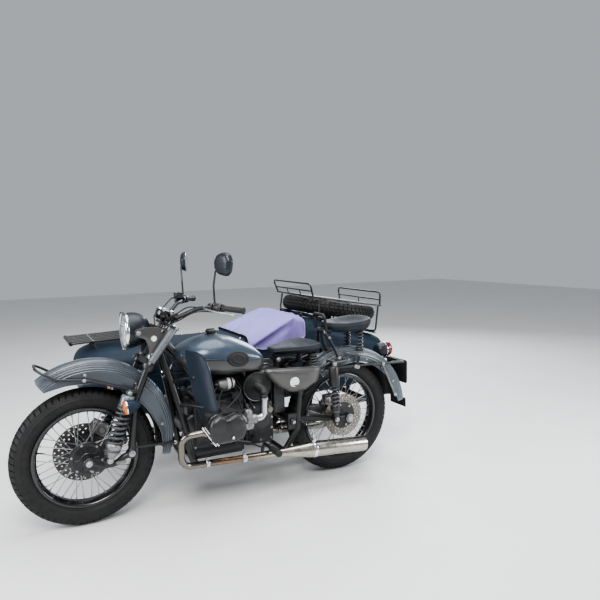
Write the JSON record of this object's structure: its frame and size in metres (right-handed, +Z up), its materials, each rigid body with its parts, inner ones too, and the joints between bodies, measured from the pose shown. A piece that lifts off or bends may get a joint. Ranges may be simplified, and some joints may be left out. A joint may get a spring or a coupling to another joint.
{
  "type": "sidecar motorcycle",
  "caption": "Flat-twin motorcycle with leading-arm fork and a covered passenger sidecar on its right side, with spare wheel, luggage rack and nose rack.",
  "frame": {"origin": "on the ground, under the middle of the bounding box", "axes": "+X towards the front wheel, +Y to the rider's left, +Z up"},
  "size_m": [2.5256, 1.6394, 1.344],
  "materials": {
    "frame_black": "satin black powder coat",
    "engine_black": "satin black cast aluminium",
    "exhaust_steel": "polished stainless, heat tinted",
    "black_plastic": "matt",
    "paint_grey": "satin metallic dark grey",
    "paint_dark": "satin dark grey",
    "paint_dark_blue": "satin blue black",
    "saddle_black": "matt textured",
    "rubber_black": "matt",
    "cloth_lilac": "faded woven cloth",
    "lamp_red": "glossy lens in a black housing",
    "lamp_amber": "glossy lens in a black housing",
    "lamp_glass": "fluted clear glass",
    "fork_grey": "satin grey",
    "gloss_black": "gloss black",
    "tyre_rubber": "matt, dusty"
  },
  "bodies": {
    "root": {"main_frame": "frame_black", "engine_block": "engine_black", "cylinders": "engine_black", "exhausts": "exhaust_steel", "intake": "black_plastic", "battery_box": "black_plastic", "fuel_tank": "paint_grey", "swingarm": "frame_black", "rear_shocks": "frame_black", "rear_rails": "frame_black", "rear_mudguard": "paint_grey", "rider_saddle": "saddle_black", "pillion_saddle": "saddle_black", "saddle_springs": "frame_black", "grab_handle": "rubber_black", "tail_lamp": "lamp_red", "number_plate": "black_plastic", "leg_shields": "paint_dark_blue", "side_covers": "paint_grey", "footrests": "rubber_black", "horn": "frame_black", "sidecar_chassis": "frame_black", "sidecar_struts": "frame_black", "sidecar_body": "paint_dark", "sidecar_seat": "saddle_black", "cockpit_cover": "cloth_lilac", "nose_rack": "frame_black", "sidecar_swingarm": "frame_black", "sidecar_mudguard": "paint_dark", "sidecar_lamps": "lamp_amber"},
    "steering": {"front_fork": "fork_grey", "leading_arms": "frame_black", "front_shocks": "frame_black", "front_mudguard": "paint_grey", "mudguard_hoop": "frame_black", "headlight_glass": "lamp_glass", "headlight": "gloss_black", "headlight_brackets": "paint_grey", "handlebar": "frame_black", "handlebar_grips": "rubber_black", "instrument": "gloss_black", "mirrors": "gloss_black", "front_turn_signals": "lamp_amber"},
    "front_wheel": {"front_tyre": "tyre_rubber", "front_wheel_rim": "frame_black"},
    "rear_wheel": {"rear_tyre": "tyre_rubber", "rear_wheel_rim": "frame_black"},
    "sidecar_wheel": {"sidecar_tyre": "tyre_rubber", "sidecar_wheel_rim": "frame_black"},
    "boot": {"boot_lid": "paint_dark", "spare_tyre": "tyre_rubber", "spare_rim": "frame_black", "luggage_rack": "frame_black"}
  },
  "joints": [
    {"name": "steering", "type": "hinge", "parent": "root", "child": "steering", "pos_m": [0.53949, 0.3943, 0.88], "axis": [-0.454, 0, 0.891], "range_deg": [-35, 35]},
    {"name": "front_wheel_spin", "type": "hinge", "parent": "steering", "child": "front_wheel", "pos_m": [0.91787, 0.3943, 0.345], "axis": [0, 1, 0], "continuous": true},
    {"name": "rear_wheel_spin", "type": "hinge", "parent": "root", "child": "rear_wheel", "pos_m": [-0.55213, 0.3943, 0.345], "axis": [0, 1, 0], "continuous": true},
    {"name": "sidecar_wheel_spin", "type": "hinge", "parent": "root", "child": "sidecar_wheel", "pos_m": [-0.45213, -0.7457, 0.345], "axis": [0, 1, 0], "continuous": true},
    {"name": "boot_lid_hinge", "type": "hinge", "parent": "root", "child": "boot", "pos_m": [-0.60213, -0.3277, 0.897], "axis": [0, 1, 0], "range_deg": [0, 60]}
  ]
}
